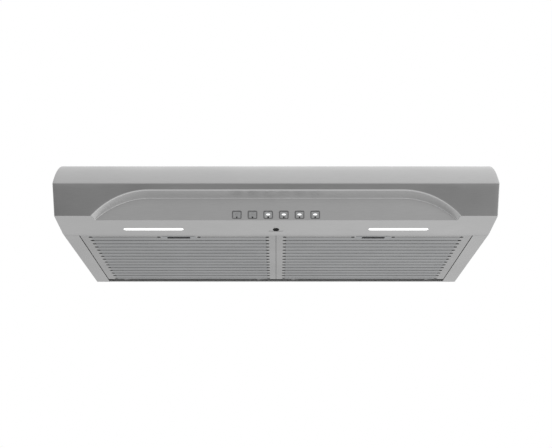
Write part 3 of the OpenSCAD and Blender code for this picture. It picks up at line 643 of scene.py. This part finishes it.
def build_fascia():
    """The fascia's folded sheet with the buttons' holes. Returns its lower edge as (x, y) points."""
    bm = bmesh.new()
    columns = []
    for shared, deep in fascia_surface():
        columns.append([bm.verts.new(Vector(p) * MM) for p in shared + deep])
    for a, b in zip(columns, columns[1:]):
        for i in range(min(len(a), len(b)) - 1):
            bm.faces.new((a[i], a[i + 1], b[i + 1], b[i]))
    bmesh.ops.remove_doubles(bm, verts=bm.verts, dist=0.02 * MM)
    foot = Vector((0, FOOT_Y, FOOT_Z)) * MM
    cut = cut_mesh(bm, foot, LIGHT_OUT, clear_outer=True)
    edge = sorted((v.co.x / MM, v.co.y / MM) for v in cut if isinstance(v, bmesh.types.BMVert))
    cut_mesh(bm, foot - LIGHT_OUT * FOOT_LIP * MM, LIGHT_OUT, clear_outer=True)
    mesh = bpy.data.meshes.new("fascia_skin")
    bm.to_mesh(mesh)
    bm.free()
    obj = new_object("fascia_source", mesh)
    thick = obj.modifiers.new("thickness", "SOLIDIFY")
    thick.thickness = FASCIA_THICK * MM
    thick.offset = -1
    cutters = []
    for i in range(len(BUTTONS)):
        cutters.append(block(f"cutter_{i}", BUTTON_HOLE, on_recess(button_x(i))))
        hole = obj.modifiers.new(f"hole_{i}", "BOOLEAN")
        hole.operation = "DIFFERENCE"
        hole.solver = "EXACT"
        hole.object = cutters[i]
    result = evaluated("fascia", obj)
    for cutter in cutters:
        bpy.data.objects.remove(cutter)
    finish_piece(result, STEEL, "canopy", ["front_fascia"], angle=35)
    return edge


# ---------- light panel ----------

# The upturned ledge behind the light panel
LEDGE_Y = panel_high.y
LEDGE_LOW = BOTTOM + 0.5
LEDGE_TOP = BOTTOM + 10
BAY_HALF = HALF_W - 26.7

SHEET_RIM = 0.2

# The fold between the slope and the level strip, half its length
FOLD_HALF = 1.5

# The lamps, in their own frames: levels of the lens's inner and outer face, and of its flange's outer face
LAMP_X = 216
LAMP_Y = FRONT + 90.5
LENS_LEN, LENS_W = 105, 9
LENS_GAP = 0.6
LENS_IN, LENS_OUT = -2.8, 0.3
LENS_RIM = 0.9
FLANGE_LEN, FLANGE_W = LENS_LEN + 8, LENS_W + 6.6
FLANGE_OUT = -1.3
FLANGE_RIM = 0.3

# The boss: a round hole, and behind it a curved slot
BOSS_Y = FRONT + 91.8
BOSS_HOLE_R = 4.5
BOSS_SLOT_R = 75
BOSS_SLOT_W = 1.2
BOSS_SLOT_BACK = 7.8
BOSS_SLOT_HALF = 13


def sheet_z(y):
    """Height of the light panel's outer face: a slope that rounds into the level strip behind it."""
    start = PANEL_END_Y - FOLD_HALF
    if y <= start:
        return light_z(y)
    run = min(y - start, 2 * FOLD_HALF)
    return light_z(start) - PANEL_DROP * (run - run**2 / (4 * FOLD_HALF))


def boss_slot_loop():
    """The curved slot behind the boss plug."""
    steps = 14
    turn = math.degrees(math.asin(BOSS_SLOT_HALF / BOSS_SLOT_R))
    centre_y = BOSS_Y + BOSS_SLOT_BACK - BOSS_SLOT_R
    rear = arc(0, centre_y, BOSS_SLOT_R + BOSS_SLOT_W / 2, 90 - turn, 90 + turn, steps)
    return rear + arc(0, centre_y, BOSS_SLOT_R - BOSS_SLOT_W / 2, 90 + turn, 90 - turn, steps)


def by_boss_slot(x, y):
    """Whether a point of the light panel lies at the boss's slot or at the rear of its round hole."""
    return abs(x) < BOSS_SLOT_HALF + 1 and BOSS_Y + 3 < y < BOSS_Y + 9


def paint_shade_in_cuts(obj, out, inside):
    """Paints shade on the walls of punched holes: faces that stand across out, where inside(x, y) holds, get
    the near-black steel as painted shade.
    """
    slot = len(obj.data.materials)
    obj.data.materials.append(PAINTED_SHADE_EDGE)
    for face in obj.data.polygons:
        x, y = face.center.x / MM, face.center.y / MM
        if abs(face.normal.dot(out)) < 0.5 and inside(x, y):
            face.material_index = slot


def build_light_panel(edge):
    """The panel's sheet, whose front edge follows the fascia, and the upturned ledge behind it."""
    loops = [edge + [(HALF_W, LEDGE_Y), (-HALF_W, LEDGE_Y)]]
    loops += [stadium_loop(s * LAMP_X, LAMP_Y, LENS_LEN + LENS_GAP, LENS_W + LENS_GAP) for s in (-1, 1)]
    loops += [circle_loop(0, BOSS_Y, BOSS_HOLE_R, 32), boss_slot_loop()]
    sheet = plate("light_sheet", loops, 0, SHEET, SHEET_RIM)
    cut_across(sheet.data, [(1, PANEL_END_Y + FOLD_HALF * t) for t in (-1, -0.5, 0, 0.5, 1)])
    for vert in sheet.data.vertices:
        vert.co.z += sheet_z(vert.co.y / MM) * MM
    upright = Matrix(((1, 0, 0, 0), (0, 0, -1, LEDGE_Y - 0.05), (0, 1, 0, 0), (0, 0, 0, 1)))
    outline = rounded_loop(-BAY_HALF, BAY_HALF, LEDGE_LOW, LEDGE_TOP, 0.8)
    ledge = plate("light_ledge", [outline], 0, SHEET - 0.1, SHEET_RIM, upright)
    panel = joined("light_panel_skin", [sheet, ledge])
    finish_piece(panel, STEEL, "canopy", ["light_panel"])
    # The walls at the boss's slot and at the rear of its round hole get painted shade
    paint_shade_in_cuts(panel, LIGHT_OUT, by_boss_slot)


def build_lenses():
    """The lamps' lenses, each with the flange that holds it behind the panel."""
    lens_loop = stadium_loop(0, 0, LENS_LEN, LENS_W)
    flange_loop = stadium_loop(0, 0, FLANGE_LEN, FLANGE_W)
    for side, s in (("left", -1), ("right", 1)):
        place = on_light(s * LAMP_X, LAMP_Y)
        lens = plate(f"lens_{side}", [lens_loop], LENS_IN, LENS_OUT, LENS_RIM, place)
        flange = plate(f"lens_flange_{side}", [flange_loop], LENS_IN, FLANGE_OUT, FLANGE_RIM, place)
        lamp = joined(f"lamp_{side}", [lens, flange])
        finish_piece(lamp, WHITE_LAMP, "canopy", [f"lamp_lens_{side}"])


# ---------- buttons ----------

# A button's stem as (radius, height), and the dark spot on its cap as (share of its radius, height)
STEM_PROFILE = [(0, -13), (1.7, -13), (2, -12.7), (2, -5.2), (0, -5.2)]
SPOT_PROFILE = [(0, 1.0), (1, 1.0), (1, 1.25), (0.7, 1.38), (0, 1.42)]
SPOT_Y = -4.1
SPOT_R = 1.4
LOW_SPOT_R = 1.6

# What is set into the caps: all start at MARK_IN, the marks end at MARK_OUT, and the glowing centres,
# painted highlights, at the last of these three
MARK_IN, MARK_OUT, HIGHLIGHT_OUT = 1.0, 1.28, 1.34
MARK_RIM, HIGHLIGHT_RIM = 0.05, 0.12
HIGHLIGHT_HALF_W, HIGHLIGHT_HALF_H = 3.5, 1.5
HIGHLIGHT_Y = 0.7
HIGHLIGHT_POINTS = 32
RING_Y = 1
RING_R, RING_HOLE_R = 2.3, 1.7
BAR_HALF_W = 2.4
BAR_LOW, BAR_TOP = 0.7, 1.4
BAR_R = 0.3


def highlight_loop():
    """The outline of a button's glowing centre, a painted highlight, an ellipse."""
    turn = [2 * math.pi * i / HIGHLIGHT_POINTS for i in range(HIGHLIGHT_POINTS)]
    return [(HIGHLIGHT_HALF_W * math.cos(a), HIGHLIGHT_Y + HIGHLIGHT_HALF_H * math.sin(a)) for a in turn]


def build_button(i):
    """A cap with its flange and stem, a dark spot low on its face, and a ring, a bar or a glowing centre
    that is a painted highlight.
    """
    name = BUTTONS[i]
    body = f"{name}_button"
    place = on_recess(button_x(i))
    cap = block(f"cap_{i}", BUTTON_CAP, place)
    flange = block(f"cap_flange_{i}", BUTTON_FLANGE, place)
    stem = lathe(f"cap_stem_{i}", STEM_PROFILE, place, 24)
    slot = "button_grey" if name in ("lamp", "stop") else "button_lit"
    button = joined(f"button_{name}_cap", [cap, flange, stem])
    finish_piece(button, NODE_MATERIALS[slot], body, [f"button_{name}"])

    r, spot_material = (LOW_SPOT_R, BLACK) if name == "low" else (SPOT_R, BUTTON_SPOT)
    profile = [(share * r, height) for share, height in SPOT_PROFILE]
    spot = lathe(f"spot_{i}", profile, place @ Matrix.Translation((0, SPOT_Y, 0)), 20)
    finish_piece(spot, spot_material, body)

    if name == "lamp":
        loops = [circle_loop(0, RING_Y, r, 24) for r in (RING_R, RING_HOLE_R)]
        ring = plate("mark_0", loops, MARK_IN, MARK_OUT, MARK_RIM, place)
        finish_piece(ring, BUTTON_MARK, body)
    elif name == "stop":
        outline = rounded_loop(-BAR_HALF_W, BAR_HALF_W, BAR_LOW, BAR_TOP, BAR_R)
        bar = plate("mark_1", [outline], MARK_IN, MARK_OUT, MARK_RIM, place)
        finish_piece(bar, BUTTON_MARK, body)
    else:
        # The other buttons get a glowing centre: a painted highlight
        highlight = plate(f"glow_{i}", [highlight_loop()], MARK_IN, HIGHLIGHT_OUT, HIGHLIGHT_RIM, place)
        finish_piece(highlight, BUTTON_PAINTED_HIGHLIGHT, body)


# ---------- filter faces ----------

face_low, face_high = corners("filter_face_right")

# The slots' rows, from the front one at SLOT_Y, and their ends towards the hood's middle and its side
SLOT_ROWS = 15
SLOT_PITCH = 23.64
SLOT_Y = FRONT + 135
LAST_SLOT_Y = SLOT_Y + (SLOT_ROWS - 1) * SLOT_PITCH
SLOT_IN = 15.8
SLOT_OUT = face_high.x - 17.3
SLOT_W = 1.8
SLOT_END_R = 3.7

# The latch's window, and how far on each side of the latch the front row's slots end
LATCH_X = 175.5
LATCH_Y = FRONT + 137.5
WINDOW_HALF_X = 23
WINDOW_HALF_Y = 6.7
LATCH_SLOT_IN = 36.8
LATCH_SLOT_OUT = 36

# A louvre: half its width, how far its two lips stand in, and where it dies out at its ends and at the latch
LIP = 4.5
FRONT_LIP_IN = 0.2
REAR_LIP_IN = -0.05
FADE_GAP = 1
FADE_RUN = 7
LATCH_FADE_GAP = 37.5
LATCH_FADE_RUN = 6


def slot_loop(x0, x1, y):
    """A narrow slot with a round hole at each end."""
    meet = math.degrees(math.asin(SLOT_W / 2 / SLOT_END_R))
    right = arc(x1, y, SLOT_END_R, meet - 180, 180 - meet, 16)
    return right + arc(x0, y, SLOT_END_R, meet, 360 - meet, 16)


def smooth(t):
    """A smooth step from 0 to 1."""
    t = min(max(t, 0), 1)
    return t * t * (3 - 2 * t)


def louvre(x, y):
    """How far the face stands in from its plane: each slot's front lip in, its rear lip slightly out."""
    row = round((y - SLOT_Y) / SLOT_PITCH)
    u = y - SLOT_Y - row * SLOT_PITCH
    if not 0 <= row < SLOT_ROWS or abs(u) > LIP:
        return 0
    fade = smooth((x - SLOT_IN - FADE_GAP) / FADE_RUN) * smooth((SLOT_OUT - FADE_GAP - x) / FADE_RUN)
    if row == 0:
        fade *= smooth((abs(x - LATCH_X) - LATCH_FADE_GAP) / LATCH_FADE_RUN)
    share = smooth((LIP - abs(u)) / (LIP - SLOT_W / 2))
    return fade * share * (FRONT_LIP_IN if u < 0 else REAR_LIP_IN)


def in_slots(x, y):
    """Whether a point of a filter face lies in its field of slots."""
    near = SLOT_END_R + 1
    return SLOT_IN - near < abs(x) < SLOT_OUT + near and SLOT_Y - near < y < LAST_SLOT_Y + near


def on_louvres(x, y):
    """Whether a point of a filter face lies on the louvres behind the front row."""
    return SLOT_IN + FADE_GAP < abs(x) < SLOT_OUT - FADE_GAP and SLOT_Y + LIP < y < LAST_SLOT_Y + LIP


def build_filter_faces():
    """The right face with its slots pressed into louvres, and its mirror image."""
    loops = [rounded_loop(face_low.x, face_high.x, face_low.y, face_high.y, 0.6)]
    loops.append(slot_loop(SLOT_IN, LATCH_X - LATCH_SLOT_IN, SLOT_Y))
    loops.append(slot_loop(LATCH_X + LATCH_SLOT_OUT, SLOT_OUT, SLOT_Y))
    loops += [slot_loop(SLOT_IN, SLOT_OUT, SLOT_Y + i * SLOT_PITCH) for i in range(1, SLOT_ROWS)]
    window_x = (LATCH_X - WINDOW_HALF_X, LATCH_X + WINDOW_HALF_X)
    window_y = (LATCH_Y - WINDOW_HALF_Y, LATCH_Y + WINDOW_HALF_Y)
    loops.append(rounded_loop(*window_x, *window_y, 0.5))
    right = plate("filter_face_skin_right", loops, face_low.z, face_high.z, 0.15)

    # The sheet is cut where the louvres bend, so that they have points to bend at
    bends = (-LIP, -3.4, -2.2, 2.2, 3.4, LIP)
    rows = [SLOT_Y + i * SLOT_PITCH + d for i in range(SLOT_ROWS) for d in bends]
    fades = (0, 2.3, 4.7, FADE_RUN)
    columns = [SLOT_IN + FADE_GAP + d for d in fades] + [SLOT_OUT - FADE_GAP - d for d in fades]
    latch_fades = [LATCH_FADE_GAP + d for d in (0, 3, LATCH_FADE_RUN)]
    columns += [LATCH_X + s * d for s in (-1, 1) for d in latch_fades]
    cut_across(right.data, [(1, y) for y in rows] + [(0, x) for x in columns])
    for vert in right.data.vertices:
        vert.co.z += louvre(vert.co.x / MM, vert.co.y / MM) * MM

    mesh = right.data.copy()
    mesh.name = "filter_face_skin_left"
    mesh.transform(Matrix.Scale(-1, 4, (1, 0, 0)))
    mesh.flip_normals()
    left = new_object("filter_face_skin_left", mesh)
    for side, obj in (("left", left), ("right", right)):
        node = f"filter_face_{side}"
        finish_piece(obj, FILTER_STEEL, f"filter_{side}", [node], angle=25)
        # The louvres behind the front row get the darker steel as painted shade
        obj.data.materials.append(SHADED_LOUVRE_STEEL)
        for face in obj.data.polygons:
            if on_louvres(face.center.x / MM, face.center.y / MM):
                face.material_index = 1
        # The walls of the slots and their end holes get painted shade
        paint_shade_in_cuts(obj, Vector((0, 0, 1)), in_slots)


fascia_edge = build_fascia()
build_light_panel(fascia_edge)
build_lenses()
for index in range(len(BUTTONS)):
    build_button(index)
build_filter_faces()
dress_nodes()


# ---------- studio ----------

# The light box: (degrees up round the X axis from straight back, light), and its strength at either side
LIGHT_ROUND = [
    (-180, 0.62), (-158, 0.60), (-136, 0.19), (-118, 0.50), (-104, 0.97), (-90, 0.90), (-50, 0.74),
    (-30, 0.75), (-14, 0.62), (15, 0.93), (32, 0.98), (60, 0.81), (100, 0.73), (140, 0.66), (180, 0.62),
]
LIGHT_LEFT, LIGHT_RIGHT = 0.66, 1.36

# In metres and degrees: the floor's depth below the hood, and the camera's place from the front and bottom
FLOOR_DROP = 1.4
CAMERA_AWAY = 1.7546
CAMERA_DROP = 0.5084
CAMERA_TILT = 15.756
CAMERA_LENS = 70.76


def build_world():
    """A white backdrop for the camera, and a soft light box for the object, darkest low in front."""
    world = bpy.data.worlds.new("studio")
    bpy.context.scene.world = world
    world.use_nodes = True
    tree = world.node_tree
    tree.nodes.clear()
    add, link = tree.nodes.new, tree.links.new
    coords = add("ShaderNodeTexCoord")
    split = add("ShaderNodeSeparateXYZ")
    link(coords.outputs["Generated"], split.inputs["Vector"])
    turn = add("ShaderNodeMath")
    turn.operation = "ARCTAN2"
    link(split.outputs["Z"], turn.inputs[0])
    link(split.outputs["Y"], turn.inputs[1])
    share = add("ShaderNodeMapRange")
    share.inputs["From Min"].default_value = -math.pi
    share.inputs["From Max"].default_value = math.pi
    link(turn.outputs["Value"], share.inputs["Value"])
    ramp = add("ShaderNodeValToRGB")
    ramp.color_ramp.interpolation = "EASE"
    elements = ramp.color_ramp.elements
    while len(elements) > 1:
        elements.remove(elements[-1])
    for i, (angle, light) in enumerate(LIGHT_ROUND):
        place = (angle + 180) / 360
        element = elements[0] if i == 0 else elements.new(place)
        element.position = place
        element.color = (light, light, light, 1)
    link(share.outputs["Result"], ramp.inputs["Fac"])
    side = add("ShaderNodeMapRange")
    side.inputs["From Min"].default_value = -1
    side.inputs["From Max"].default_value = 1
    side.inputs["To Min"].default_value = LIGHT_LEFT
    side.inputs["To Max"].default_value = LIGHT_RIGHT
    link(split.outputs["X"], side.inputs["Value"])
    box = add("ShaderNodeBackground")
    link(ramp.outputs["Color"], box.inputs["Color"])
    link(side.outputs["Result"], box.inputs["Strength"])
    backdrop = add("ShaderNodeBackground")
    backdrop.inputs["Color"].default_value = (1, 1, 1, 1)
    path = add("ShaderNodeLightPath")
    mix = add("ShaderNodeMixShader")
    link(path.outputs["Is Camera Ray"], mix.inputs["Fac"])
    link(box.outputs["Background"], mix.inputs[1])
    link(backdrop.outputs["Background"], mix.inputs[2])
    output = add("ShaderNodeOutputWorld")
    link(mix.outputs["Shader"], output.inputs["Surface"])


def build_floor():
    """A pale floor well below the hood."""
    bpy.ops.mesh.primitive_plane_add(size=14, location=(0, 0, BOTTOM * MM - FLOOR_DROP))
    floor = bpy.context.object
    floor.name = "floor"
    floor.visible_glossy = False
    s = Shader("floor_pale", (0.86, 0.86, 0.85), 0.7)
    s.tint(s.noise(3, detail=3), (0.84, 0.84, 0.83), (0.88, 0.88, 0.87))
    floor.data.materials.append(s.material)


def build_camera():
    """The camera stands in front of the hood and below it, and looks up at it."""
    data = bpy.data.cameras.new("camera")
    data.lens = CAMERA_LENS
    data.sensor_width = 36
    camera = bpy.data.objects.new("camera", data)
    camera.location = (0, FRONT * MM - CAMERA_AWAY, BOTTOM * MM - CAMERA_DROP)
    camera.rotation_euler = (math.radians(90 + CAMERA_TILT), 0, 0)
    bpy.context.scene.collection.objects.link(camera)
    bpy.context.scene.camera = camera


build_world()
build_floor()
build_camera()
bpy.context.scene.view_settings.view_transform = "Standard"
